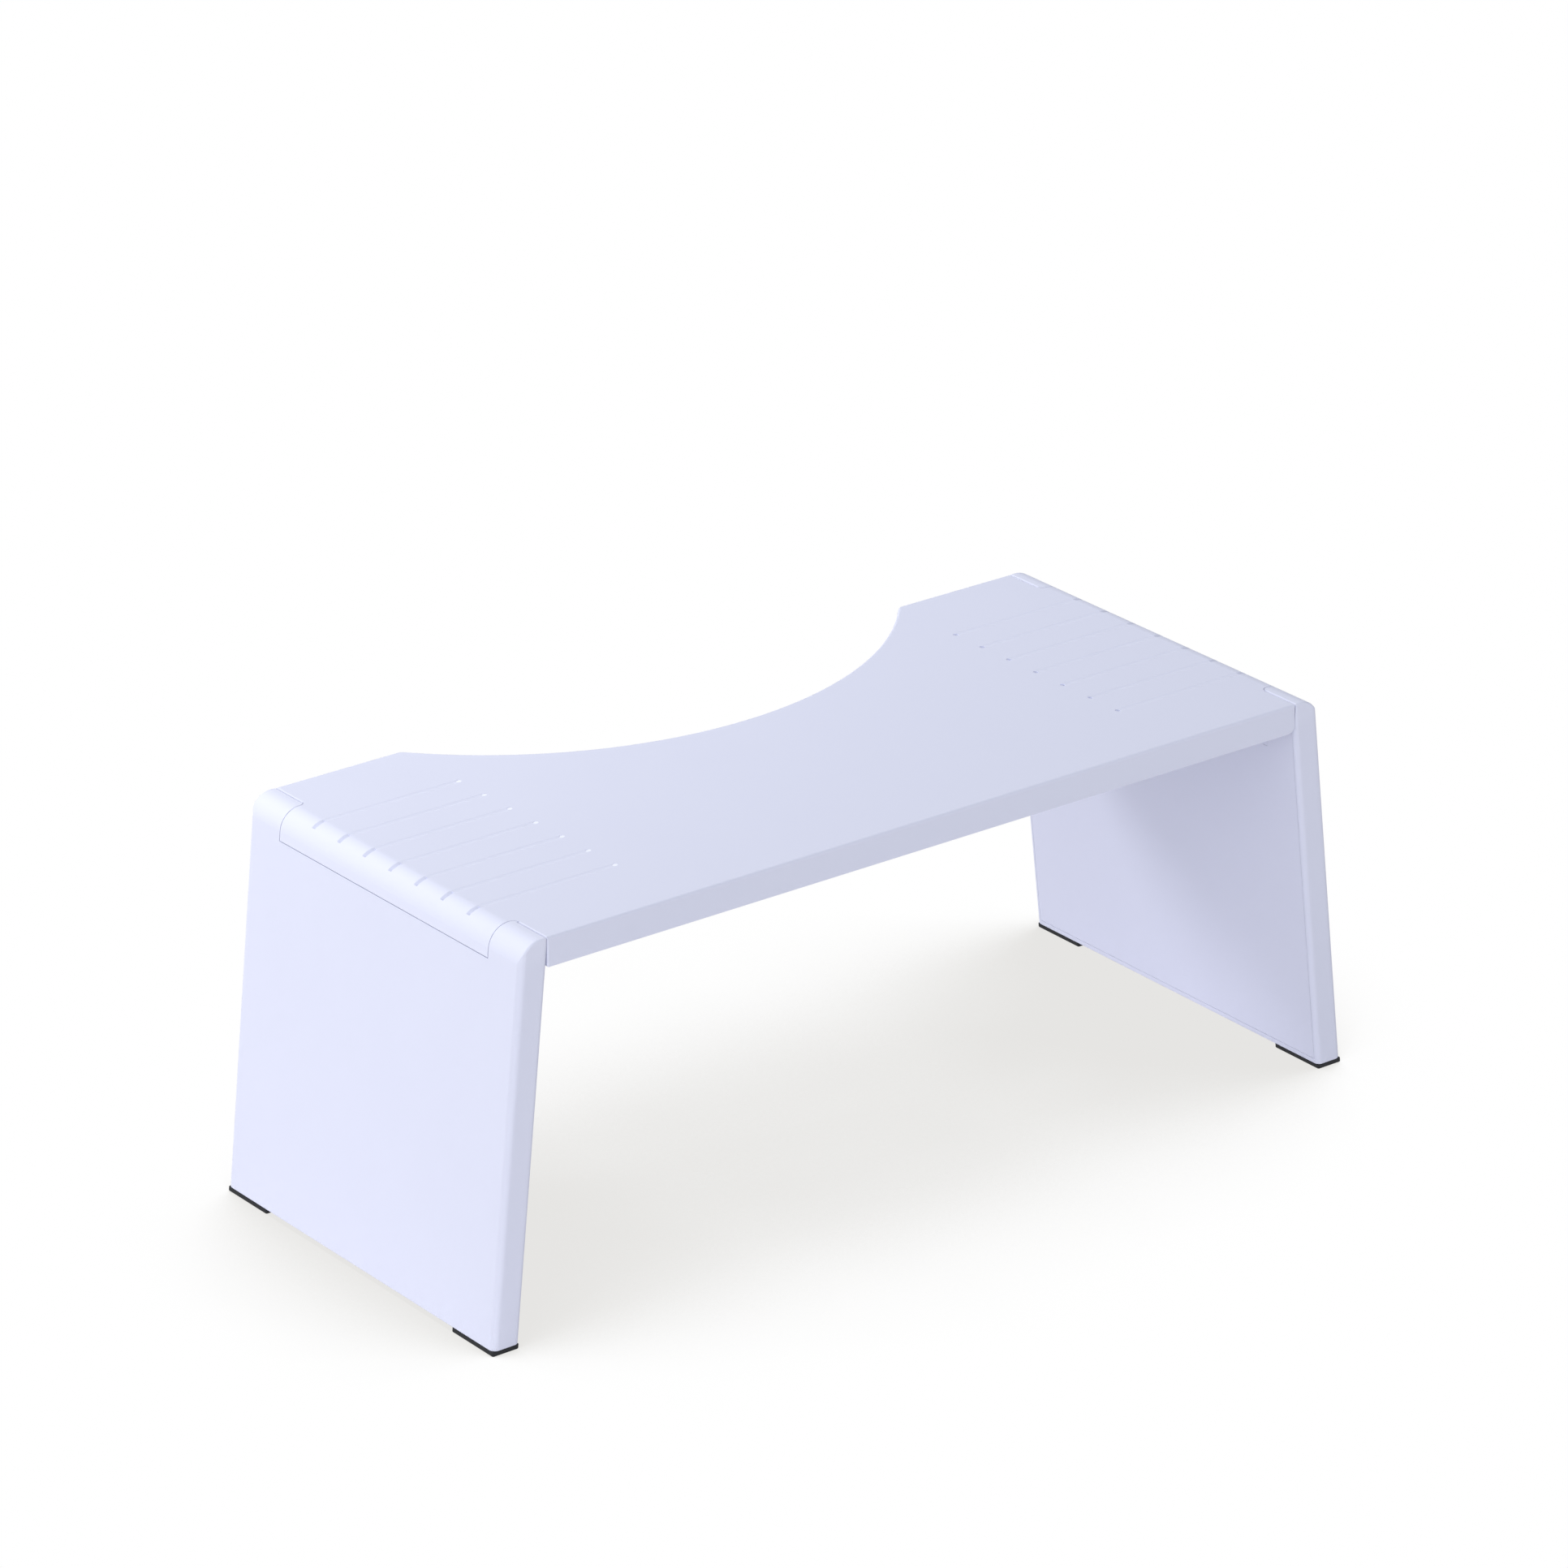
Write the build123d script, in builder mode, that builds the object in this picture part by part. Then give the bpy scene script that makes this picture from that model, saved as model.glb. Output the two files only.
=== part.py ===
"""Folding footstool with a ribbed deck and two splayed legs.

The deck is a thin clamshell with an arched cut-out at the rear. A tongue at each
end of it fills a notch in the leg, between the two ears of that leg. Lugs under
the tongue and knuckles inside the leg share a hidden steel rod, and the leg folds
on it until it lies flat under the deck.

Frame: X along the stool, Y from front to rear, Z up. The origin is on the floor
in the middle of the stool. Lengths are in millimetres and angles in degrees.
"""

import os
from math import cos, radians, sin, tan

from build123d import *

# Whole stool, standing open
stool_height = 178.0
stool_depth = 195.0
deck_length = 394.0
deck_thickness = 13.0
leg_thickness = 13.2
leg_splay = 6.2
corner_round = 10.0

# Arched cut-out in the rear of the deck
arch_width = 267.5
arch_depth = 62.3
arch_corner_round = 4.0

# Tongue at each end of the deck
tongue_width = 149.6
seam_corner_round = 2.6

# Gaps between the mouldings
end_gap = 0.3
tongue_gap = 0.4
cover_gap = 0.15
rib_gap = 0.1

# Walls, covers and ribs
deck_wall = 2.6
deck_cover_thickness = 2.2
leg_wall = 2.4
leg_cover_thickness = 2.2
rib_thickness = 1.5
deck_rib_columns = 13
deck_rib_rows = 6
leg_rib_columns = 5
leg_rib_rows = 3

# Rounded edges of the mouldings
rim_round = 1.4
seam_edge_round = 0.7
deck_left_end_round = 0.4
deck_right_end_round = 4.0
leg_upright_round = 2.8
leg_outer_round = 1.0
leg_inner_round = 1.2
leg_inner_upright_round = 2.2
leg_base_round = 0.6

# Grooves in the top, in one group at each end
groove_count = 7
groove_pitch = 18.5
groove_width = 3.0
groove_depth = 0.25
groove_reach = 64.0
slot_width = 2.4
slot_depth = 0.9
slot_start_turn = 2.0
slot_end_turn = 38.0

# Hinge of each leg
rod_diameter = 5.0
pin_drop = 6.2
pin_setback = 6.0
lug_count = 4
lug_width = 15.4
lug_wall = 2.6
lug_side_gap = 0.3
lug_slot_gap = 0.3
knuckle_gap = 0.5
pocket_gap = 2.0
running_gap = 0.08
seat_gap = 0.05
rod_engagement = 8.0
rod_end_gap = 0.3
rod_chamfer = 0.6
knuckle_end_wall = 2.0

# Steel bars that stiffen the deck
bar_width = 18.0
bar_wall = 1.2
bar_corner_round = 1.8
bar_end_inset = 11.0
bar_gap = 0.2
front_bar_inset = 31.0
rear_bar_inset = 20.0

# Screws that hold the deck cover
screw_diameter = 3.0
screw_length = 9.0
screw_head_diameter = 5.8
screw_recess_width = 0.8
screw_recess_length = 2.8
screw_recess_depth = 0.9
boss_wall = 1.9
boss_inset = 6.5
front_row_shares = (-1, -0.5, 0, 0.5, 1)
middle_row_shares = (-0.75, 0, 0.75)
screw_hole_gap = 0.05
screw_clearance = 0.2

# Rubber feet
foot_thickness = 2.0
foot_length = 29.3
foot_round = 0.6
foot_corner_round = 1.0
stud_diameter = 4.0
stud_length = 5.0
stud_spacing = 14.0
stud_gap = 0.05

# Extra reach of a cutting shape past the surface that it opens
overrun = 1.0

# Levels and places worked out from the sizes above
top_z = stool_height
underside_z = stool_height - deck_thickness
deck_end_x = deck_length / 2
half_depth = stool_depth / 2
ear_x = deck_end_x + end_gap
notch_half = tongue_width / 2 + tongue_gap
splay_angle = radians(leg_splay)
round_center_z = top_z - corner_round

arch_radius = ((arch_width / 2) ** 2 + arch_depth**2) / (2 * arch_depth)
arch_center_y = half_depth - arch_depth + arch_radius

pin_x = deck_end_x + pin_setback
pin_z = underside_z - pin_drop
rod_radius = rod_diameter / 2
rod_half = notch_half + rod_engagement
lug_radius = rod_radius + lug_wall
lug_pitch = tongue_width / lug_count
lug_places = [(i - (lug_count - 1) / 2) * lug_pitch for i in range(lug_count)]
knuckle_radius = pin_drop - knuckle_gap

pocket_floor_z = pin_z - lug_radius - pocket_gap
pocket_base_z = pocket_floor_z - leg_wall
leg_base_z = foot_thickness
leg_floor_z = leg_base_z + leg_wall
leg_cavity_half = half_depth - leg_wall

deck_cover_top_z = underside_z + deck_cover_thickness
deck_ceiling_z = top_z - deck_wall


def outer_face_x(z, inset=0.0):
    """Where the outer face of a leg stands at a height, drawn inwards by an inset."""
    face_at_underside = ear_x + leg_thickness
    lean = (underside_z - z) * tan(splay_angle)
    return face_at_underside + lean - inset / cos(splay_angle)


def inner_face_x(z, inset=0.0):
    """Where the inner face of a leg stands at a height, moved into the leg by an inset."""
    if z > underside_z:
        return ear_x + inset
    lean = (underside_z - z) * tan(splay_angle)
    return ear_x + lean + inset / cos(splay_angle)


round_reach = corner_round + (round_center_z - underside_z) * sin(splay_angle)
round_center_x = ear_x + leg_thickness - round_reach / cos(splay_angle)


def rounded_face(bottom_z, inset):
    """Outer face and top corner as one line, from a low level up to the top."""
    radius = corner_round - inset
    tangent_x = round_center_x + radius * cos(splay_angle)
    tangent_z = round_center_z + radius * sin(splay_angle)
    Line((outer_face_x(bottom_z, inset), bottom_z), (tangent_x, tangent_z))
    CenterArc((round_center_x, round_center_z), radius, leg_splay, 90 - leg_splay)


def deck_section(bottom_z, inset):
    """Upright section along the deck, with a tongue end at each side."""
    with BuildSketch(Plane.XZ) as section:
        with BuildLine():
            rounded_face(bottom_z, inset)
            Line((round_center_x, top_z - inset), (0, top_z - inset))
            Line((0, top_z - inset), (0, bottom_z))
            Line((0, bottom_z), (outer_face_x(bottom_z, inset), bottom_z))
        make_face()
        mirror(about=Plane.YZ)
    return section.sketch


def leg_section(bottom_z, outer_inset, inner_inset):
    """Upright section of the right leg, from a low level to the top of its ears."""
    kink_z = underside_z + inner_inset * tan(splay_angle / 2)
    with BuildSketch(Plane.XZ) as section:
        with BuildLine():
            rounded_face(bottom_z, outer_inset)
            Polyline(
                (round_center_x, top_z - outer_inset),
                (ear_x + inner_inset, top_z - outer_inset),
                (ear_x + inner_inset, kink_z),
                (inner_face_x(bottom_z, inner_inset), bottom_z),
                (outer_face_x(bottom_z, outer_inset), bottom_z),
            )
        make_face()
    return section.sketch


def leg_slab(low_z, high_z, outer_inset, inner_inset):
    """Four-sided section of the right leg between two levels below the deck."""
    with BuildSketch(Plane.XZ) as slab:
        with BuildLine():
            Polyline(
                (inner_face_x(low_z, inner_inset), low_z),
                (outer_face_x(low_z, outer_inset), low_z),
                (outer_face_x(high_z, outer_inset), high_z),
                (inner_face_x(high_z, inner_inset), high_z),
                close=True,
            )
        make_face()
    return slab.sketch


def plan_left_out(grow):
    """Plan of what is missing from the deck's rectangle: four ear places and the arch."""
    with BuildSketch(Plane.XY.offset(underside_z - overrun)) as left_out:
        with Locations((deck_end_x - grow, tongue_width / 2 - grow)):
            Rectangle(stool_depth, stool_depth, align=(Align.MIN, Align.MIN))
        inner_corner = left_out.vertices().sort_by(Axis.X)[:2].sort_by(Axis.Y)[0]
        fillet(inner_corner, radius=seam_corner_round + grow)
        mirror(about=Plane.YZ)
        mirror(about=Plane.XZ)
        with Locations((0, arch_center_y)):
            Circle(arch_radius + grow)
    return left_out.sketch


def across(section, center_y, width):
    """An upright section made solid over a width, centred at a depth."""
    placed = section.moved(Location((0, center_y, 0)))
    return extrude(placed, amount=width / 2, both=True, mode=Mode.PRIVATE)


def edge_cutter(corner, radius, length):
    """Solid that rounds a square edge. The corner plane's X and Y point away from the edge."""
    with BuildSketch(corner) as cutter:
        with Locations((-radius, -radius)):
            Rectangle(radius + overrun, radius + overrun, align=(Align.MIN, Align.MIN))
            Circle(radius, mode=Mode.SUBTRACT)
    return extrude(cutter.sketch, amount=length, mode=Mode.PRIVATE)


# Bar places, from the front edge of the deck and from the arch
bar_length = deck_length - 2 * bar_end_inset
bar_height = deck_ceiling_z - deck_cover_top_z - 2 * bar_gap
bar_center_z = (deck_ceiling_z + deck_cover_top_z) / 2
front_bar_y = -half_depth + front_bar_inset
rear_bar_y = arch_center_y - arch_radius - rear_bar_inset

# Screw places: a front row, a row behind it, and two in each rear wing
boss_radius = screw_diameter / 2 + boss_wall
front_row_y = -half_depth + boss_inset
middle_row_y = (front_bar_y + rear_bar_y) / 2
wing_x = (arch_width / 2 + deck_end_x) / 2
screw_places = [(share * wing_x, front_row_y) for share in front_row_shares]
screw_places += [(share * wing_x, middle_row_y) for share in middle_row_shares]
screw_places += [(side * wing_x, half_depth - boss_inset) for side in (-1, 1)]
screw_places += [(side * wing_x, half_depth - arch_depth) for side in (-1, 1)]

# Hollow of the deck, left solid where ribs and screw bosses stand
with BuildPart() as deck_hollow:
    extrude(deck_section(underside_z - overrun, deck_wall), amount=half_depth - deck_wall, both=True)
    extrude(plan_left_out(deck_wall), amount=deck_thickness + 2 * overrun, mode=Mode.SUBTRACT)
    column_pitch = deck_length / (deck_rib_columns + 1)
    row_pitch = stool_depth / (deck_rib_rows + 1)
    rib_base = Plane.XY.offset(deck_cover_top_z + rib_gap)
    with BuildSketch(rib_base):
        with GridLocations(column_pitch, 0, deck_rib_columns, 1):
            Rectangle(rib_thickness, stool_depth)
        with GridLocations(0, row_pitch, 1, deck_rib_rows):
            Rectangle(deck_length + 2 * leg_thickness, rib_thickness)
        with Locations(*screw_places):
            Circle(boss_radius)
    extrude(amount=deck_thickness, mode=Mode.SUBTRACT)
    for bar_y in (front_bar_y, rear_bar_y):
        with Locations((0, bar_y, bar_center_z)):
            Box(bar_length + 2 * bar_gap, bar_width + 2 * bar_gap, bar_height + 2 * bar_gap)

# Cutter for one groove: a V slot round the end, a shallow run over the top and a pit to start it
with BuildPart() as groove_cutter:
    slot_start = Plane(
        origin=(round_center_x, 0, round_center_z),
        x_dir=(0, 1, 0),
        z_dir=(cos(radians(slot_start_turn)), 0, -sin(radians(slot_start_turn))),
    )
    with BuildSketch(slot_start):
        with BuildLine():
            wall_slope = slot_depth / (slot_width / 2)
            slot_half_top = slot_width / 2 + overrun / wall_slope
            Polyline(
                (0, corner_round - slot_depth),
                (slot_half_top, corner_round + overrun),
                (-slot_half_top, corner_round + overrun),
                close=True,
            )
        make_face()
    slot_axis = Axis((round_center_x, 0, round_center_z), (0, 1, 0))
    revolve(axis=slot_axis, revolution_arc=slot_end_turn - slot_start_turn)
    groove_start = deck_end_x - groove_reach
    groove_radius = ((groove_width / 2) ** 2 + groove_depth**2) / (2 * groove_depth)
    with BuildSketch(Plane.YZ.offset(groove_start)):
        with Locations((0, top_z + groove_radius - groove_depth)):
            Circle(groove_radius)
    extrude(amount=round_center_x + corner_round * sin(radians(slot_start_turn)) - groove_start)
    with Locations((groove_start, 0, top_z)):
        Cylinder(radius=slot_width / 2, height=2 * slot_depth)

# Upper moulding of the deck
with BuildPart() as deck_top_shell:
    extrude(deck_section(underside_z, 0.0), amount=half_depth, both=True)
    extrude(plan_left_out(0.0), amount=deck_thickness + 2 * overrun, mode=Mode.SUBTRACT)

    upright_edges = deck_top_shell.edges().filter_by(Axis.Z)
    arch_corners = upright_edges.filter_by_position(Axis.X, -arch_radius, arch_radius)
    fillet(arch_corners.sort_by(Axis.Y)[-2:], radius=arch_corner_round)

    top_edges = deck_top_shell.edges().group_by(Axis.Z)[-1]
    rim_edges = top_edges.filter_by(lambda e: abs(e.center().X) < deck_end_x - seam_corner_round)
    fillet(rim_edges, radius=rim_round)

    # Rounded edges of the deck's ends, in front of the tongues and behind them
    end_round_start = tongue_width / 2 + seam_corner_round
    end_round_length = half_depth + overrun - end_round_start
    end_top_corner = Plane(
        origin=(deck_end_x, half_depth + overrun, top_z), x_dir=(1, 0, 0), z_dir=(0, -1, 0)
    )
    end_low_corner = Plane(
        origin=(deck_end_x, end_round_start, underside_z), x_dir=(1, 0, 0), z_dir=(0, 1, 0)
    )
    end_upright_corner = Plane(
        origin=(deck_end_x, half_depth, underside_z - overrun), x_dir=(1, 0, 0), z_dir=(0, 0, 1)
    )
    end_rounds = [
        edge_cutter(end_top_corner, seam_edge_round, end_round_length),
        edge_cutter(end_upright_corner, seam_edge_round, deck_thickness + 2 * overrun),
    ]
    right_low_round = edge_cutter(end_low_corner, deck_right_end_round, end_round_length)
    left_low_round = edge_cutter(end_low_corner, deck_left_end_round, end_round_length)
    for cutter in end_rounds + [right_low_round]:
        add([cutter, cutter.mirror(Plane.XZ)], mode=Mode.SUBTRACT)
    for cutter in end_rounds + [left_low_round]:
        left_cutter = cutter.mirror(Plane.YZ)
        add([left_cutter, left_cutter.mirror(Plane.XZ)], mode=Mode.SUBTRACT)

    add(deck_hollow.part, mode=Mode.SUBTRACT)

    # Lugs that stand down from each tongue and carry the rod
    with BuildSketch(Plane.XZ) as lug_neck:
        add(deck_section(underside_z, deck_wall / 2))
        with Locations((pin_x, underside_z)):
            Rectangle(2 * lug_radius, 2 * deck_thickness, mode=Mode.INTERSECT)
    with BuildSketch(Plane.XZ) as lug_section:
        add(lug_neck.sketch_local)
        with Locations((pin_x, (pin_z + deck_cover_top_z) / 2)):
            Rectangle(2 * lug_radius, deck_cover_top_z - pin_z)
        with Locations((pin_x, pin_z)):
            Circle(lug_radius)
            Circle(rod_radius + running_gap, mode=Mode.SUBTRACT)
        mirror(about=Plane.YZ)
    for place in lug_places:
        add(across(lug_section.sketch, place, lug_width))

    # Holes for the screws
    with BuildSketch(Plane.XY.offset(deck_cover_top_z)):
        with Locations(*screw_places):
            Circle(screw_diameter / 2 + screw_hole_gap)
    extrude(amount=screw_length - deck_cover_thickness + screw_clearance, mode=Mode.SUBTRACT)

    # Grooves in the top
    with GridLocations(0, groove_pitch, 1, groove_count):
        add(groove_cutter.part, mode=Mode.SUBTRACT)
        add(groove_cutter.part.mirror(Plane.YZ), mode=Mode.SUBTRACT)

deck_top_shell.part.label = "deck_top_shell"

# Lower cover of the deck, set flush inside the skirt
with BuildPart() as deck_bottom_cover:
    cover_inset = deck_wall + cover_gap
    extrude(deck_section(underside_z, cover_inset), amount=half_depth - cover_inset, both=True)
    extrude(plan_left_out(cover_inset), amount=deck_thickness + 2 * overrun, mode=Mode.SUBTRACT)
    split(bisect_by=Plane.XY.offset(deck_cover_top_z), keep=Keep.BOTTOM)
    with BuildSketch(Plane.XY.offset(underside_z)):
        for place in lug_places:
            with Locations((-pin_x, place), (pin_x, place)):
                Rectangle(2 * (lug_radius + lug_slot_gap), lug_width + 2 * lug_slot_gap)
    extrude(amount=deck_cover_thickness, mode=Mode.SUBTRACT)
    with Locations(Plane(origin=(0, 0, underside_z), x_dir=(1, 0, 0), z_dir=(0, 0, -1))):
        with Locations(*[(x, -y) for x, y in screw_places]):
            CounterSinkHole(
                radius=screw_diameter / 2 + screw_clearance,
                counter_sink_radius=screw_head_diameter / 2 + screw_clearance,
                depth=deck_cover_thickness,
                counter_sink_angle=90,
            )

deck_bottom_cover.part.label = "deck_bottom_cover"

# Bars and screws inside the deck
with BuildPart() as front_deck_bar:
    with BuildSketch(Plane.YZ):
        with Locations((front_bar_y, bar_center_z)):
            RectangleRounded(bar_width, bar_height, bar_corner_round)
            offset(amount=-bar_wall, mode=Mode.SUBTRACT)
    extrude(amount=bar_length / 2, both=True)
front_deck_bar.part.label = "front_deck_bar"

with BuildPart() as rear_deck_bar:
    with Locations((0, rear_bar_y - front_bar_y)):
        add(front_deck_bar.part)
rear_deck_bar.part.label = "rear_deck_bar"

with BuildPart() as screw:
    head_radius = screw_head_diameter / 2
    shank_radius = screw_diameter / 2
    with BuildSketch(Plane.XZ):
        with BuildLine():
            Polyline(
                (0, 0),
                (head_radius, 0),
                (shank_radius, head_radius - shank_radius),
                (shank_radius, screw_length),
                (0, screw_length),
                close=True,
            )
        make_face()
    revolve(axis=Axis.Z)
    with BuildSketch():
        Rectangle(screw_recess_length, screw_recess_width)
        Rectangle(screw_recess_width, screw_recess_length)
    extrude(amount=screw_recess_depth, mode=Mode.SUBTRACT)

with BuildPart() as deck_screws:
    with Locations(*[(x, y, underside_z) for x, y in screw_places]):
        add(screw.part)
deck_screws.part.label = "deck_screws"


def inner_band(low_z, high_z, near, far):
    """Section of a layer along the inner face of the right leg, between two insets."""
    high_points = [(inner_face_x(high_z, far), high_z), (inner_face_x(high_z, near), high_z)]
    if high_z > underside_z:
        high_points = [
            (ear_x + far, underside_z + far * tan(splay_angle / 2)),
            (ear_x + far, high_z),
            (ear_x + near, high_z),
            (ear_x + near, underside_z + near * tan(splay_angle / 2)),
        ]
    with BuildSketch(Plane.XZ) as band:
        with BuildLine():
            Polyline(
                (inner_face_x(low_z, near), low_z),
                (inner_face_x(low_z, far), low_z),
                *high_points,
                close=True,
            )
        make_face()
    return band.sketch


# Ears of the right leg and the knuckles between the lugs of the deck
ear_hollow_width = leg_cavity_half - notch_half - leg_wall
ear_center_y = leg_cavity_half - ear_hollow_width / 2
knuckle_width = lug_pitch - lug_width - 2 * lug_side_gap
knuckle_places = [(i - (lug_count - 2) / 2) * lug_pitch for i in range(lug_count - 1)]
last_knuckle_start = lug_places[-1] + lug_width / 2 + lug_side_gap
last_knuckle_end = rod_half + rod_end_gap + knuckle_end_wall
last_knuckle_width = last_knuckle_end - last_knuckle_start
last_knuckle_y = (last_knuckle_start + last_knuckle_end) / 2
last_finger_width = notch_half - cover_gap - last_knuckle_start
last_finger_y = last_knuckle_start + last_finger_width / 2

# Feet of the right leg, one at each end of its bottom edge
foot_center_x = (inner_face_x(leg_base_z) + outer_face_x(leg_base_z)) / 2
foot_places = {"front": foot_length / 2 - half_depth, "rear": half_depth - foot_length / 2}
stud_places = []
for foot_y in foot_places.values():
    stud_places += [(foot_center_x, foot_y + side * stud_spacing / 2) for side in (-1, 1)]

# Outline that both halves of a knuckle keep within as the leg turns
with BuildSketch(Plane.XZ) as knuckle_limit:
    with Locations((pin_x, pin_z)):
        Circle(knuckle_radius)
        Rectangle(leg_thickness, knuckle_radius, align=(Align.MIN, Align.MIN))
    with Locations((pin_x, pin_z)):
        Rectangle(4 * leg_thickness, 2 * (pin_z - pocket_base_z), align=(Align.CENTER, Align.MAX))

# Hollow of the right leg, left solid where ribs stand
with BuildPart() as leg_hollow:
    add(across(leg_slab(leg_floor_z, pocket_base_z, leg_wall, -overrun), 0, 2 * leg_cavity_half))
    for side in (-1, 1):
        ear_hollow = leg_section(pocket_base_z - overrun, leg_wall, -overrun)
        add(across(ear_hollow, side * ear_center_y, ear_hollow_width))
    rib_inset = leg_cover_thickness + rib_gap
    leg_column_pitch = stool_depth / (leg_rib_columns + 1)
    for i in range(leg_rib_columns):
        place = (i - (leg_rib_columns - 1) / 2) * leg_column_pitch
        rib = leg_slab(leg_base_z, pocket_floor_z, 0.0, rib_inset)
        add(across(rib, place, rib_thickness), mode=Mode.SUBTRACT)
    leg_row_pitch = (pocket_base_z - leg_floor_z) / (leg_rib_rows + 1)
    for i in range(leg_rib_rows):
        level = leg_floor_z + (i + 1) * leg_row_pitch
        rib = leg_slab(level - rib_thickness / 2, level + rib_thickness / 2, 0.0, rib_inset)
        add(across(rib, 0, stool_depth), mode=Mode.SUBTRACT)
    seat = inner_band(pocket_base_z - overrun, pocket_floor_z + cover_gap, -overrun, rib_inset)
    add(across(seat, 0, 2 * leg_cavity_half))

# Outer moulding of the right leg
with BuildPart() as right_leg_outer_shell:
    add(across(leg_section(leg_base_z, 0.0, 0.0), 0, stool_depth))
    end_edges = right_leg_outer_shell.faces().filter_by(Axis.Y).edges()
    inner_side = end_edges.filter_by(lambda e: e.center().X < inner_face_x(e.center().Z, overrun))
    outer_side = end_edges.filter_by(lambda e: e.center().X > outer_face_x(e.center().Z, overrun))
    round_side = end_edges.filter_by(GeomType.CIRCLE)
    fillet(outer_side + round_side, radius=leg_outer_round)
    fillet(inner_side, radius=leg_inner_round)

    # Rounder upright edges, which fade out beside the deck
    lean_direction = (-sin(splay_angle), 0, cos(splay_angle))
    outer_corner = Plane(
        origin=(outer_face_x(0.0), half_depth, 0),
        x_dir=(cos(splay_angle), 0, sin(splay_angle)),
        z_dir=lean_direction,
    )
    inner_corner = Plane(
        origin=(inner_face_x(0.0), half_depth, 0), x_dir=(0, 1, 0), z_dir=lean_direction
    )
    for corner, radius in (
        (outer_corner, leg_upright_round),
        (inner_corner, leg_inner_upright_round),
    ):
        cutter = edge_cutter(corner, radius, stool_height + overrun)
        add([cutter, cutter.mirror(Plane.XZ)], mode=Mode.SUBTRACT)
    fillet(right_leg_outer_shell.faces().sort_by(Axis.Z)[0].edges(), radius=leg_base_round)

    with BuildSketch(Plane.YZ.offset(deck_end_x - deck_wall)):
        with Locations((0, underside_z - tongue_gap)):
            Rectangle(2 * notch_half, stool_height, align=(Align.CENTER, Align.MIN))
    extrude(amount=2 * leg_thickness, mode=Mode.SUBTRACT)
    pocket = leg_slab(pocket_floor_z, underside_z, leg_wall, -overrun)
    add(across(pocket, 0, 2 * notch_half), mode=Mode.SUBTRACT)

    # Rounded edges of each ear along the seam with the deck, beside the tongue and on top
    ear_corner = Plane(
        origin=(ear_x, notch_half, pin_z + rod_radius), x_dir=(-1, 0, 0), z_dir=(0, 0, 1)
    )
    ear_corner_round = edge_cutter(ear_corner, seam_corner_round - end_gap, top_z - pin_z)
    add([ear_corner_round, ear_corner_round.mirror(Plane.XZ)], mode=Mode.SUBTRACT)
    ear_seam_corner = Plane(
        origin=(ear_x, end_round_start, top_z), x_dir=(-1, 0, 0), z_dir=(0, 1, 0)
    )
    ear_seam_round = edge_cutter(ear_seam_corner, seam_edge_round, end_round_length)
    add([ear_seam_round, ear_seam_round.mirror(Plane.XZ)], mode=Mode.SUBTRACT)

    add(leg_hollow.part, mode=Mode.SUBTRACT)

    with BuildSketch(Plane.XZ) as knuckle_section:
        knuckle_inset = leg_cover_thickness + cover_gap
        add(leg_slab(pocket_base_z, underside_z, leg_wall / 2, knuckle_inset))
        add(knuckle_limit.sketch_local, mode=Mode.INTERSECT)
    for place in knuckle_places:
        add(across(knuckle_section.sketch, place, knuckle_width))
    for side in (-1, 1):
        add(across(knuckle_section.sketch, side * last_knuckle_y, last_knuckle_width))

    # Saddle that the rod is laid into from the inner side
    with BuildSketch(Plane.XZ) as saddle:
        with Locations((pin_x, pin_z)):
            Circle(rod_radius + seat_gap)
            saddle_height = 2 * (rod_radius + seat_gap)
            Rectangle(leg_thickness, saddle_height, align=(Align.MAX, Align.CENTER))
    add(across(saddle.sketch, 0, 2 * (rod_half + rod_end_gap)), mode=Mode.SUBTRACT)

    # Holes in the bottom wall for the studs of the feet
    with BuildSketch(Plane.XY.offset(leg_base_z)):
        with Locations(*stud_places):
            Circle(stud_diameter / 2 + stud_gap)
    extrude(amount=leg_wall, mode=Mode.SUBTRACT)

right_leg_outer_shell.part.label = "right_leg_outer_shell"

# Inner cover of the right leg, with a finger over each knuckle
with BuildPart() as right_leg_inner_cover:
    plate = inner_band(leg_floor_z + cover_gap, pocket_floor_z, 0.0, leg_cover_thickness)
    add(across(plate, 0, 2 * (leg_cavity_half - cover_gap)))
    ear_top_z = top_z - leg_wall - cover_gap
    ear_plate = inner_band(pocket_floor_z - overrun, ear_top_z, 0.0, leg_cover_thickness)
    with BuildSketch(Plane.XZ) as finger:
        add(inner_band(pocket_floor_z - overrun, pin_z + knuckle_radius, 0.0, leg_cover_thickness))
        add(knuckle_limit.sketch_local, mode=Mode.INTERSECT)
    for place in knuckle_places:
        add(across(finger.sketch, place, knuckle_width))
    for side in (-1, 1):
        add(across(ear_plate, side * ear_center_y, ear_hollow_width - 2 * cover_gap))
        add(across(finger.sketch, side * last_finger_y, last_finger_width))

right_leg_inner_cover.part.label = "right_leg_inner_cover"

# Steel rod of the right hinge
with BuildPart() as right_hinge_rod:
    with BuildSketch(Plane.XZ):
        with Locations((pin_x, pin_z)):
            Circle(rod_radius)
    extrude(amount=rod_half, both=True)
    chamfer(right_hinge_rod.edges().filter_by(GeomType.CIRCLE), length=rod_chamfer)

right_hinge_rod.part.label = "right_hinge_rod"

# The left leg is the same set of pieces, seen in a mirror
with BuildPart() as left_leg_outer_shell:
    mirror(right_leg_outer_shell.part, about=Plane.YZ)
left_leg_outer_shell.part.label = "left_leg_outer_shell"

with BuildPart() as left_leg_inner_cover:
    mirror(right_leg_inner_cover.part, about=Plane.YZ)
left_leg_inner_cover.part.label = "left_leg_inner_cover"

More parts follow.
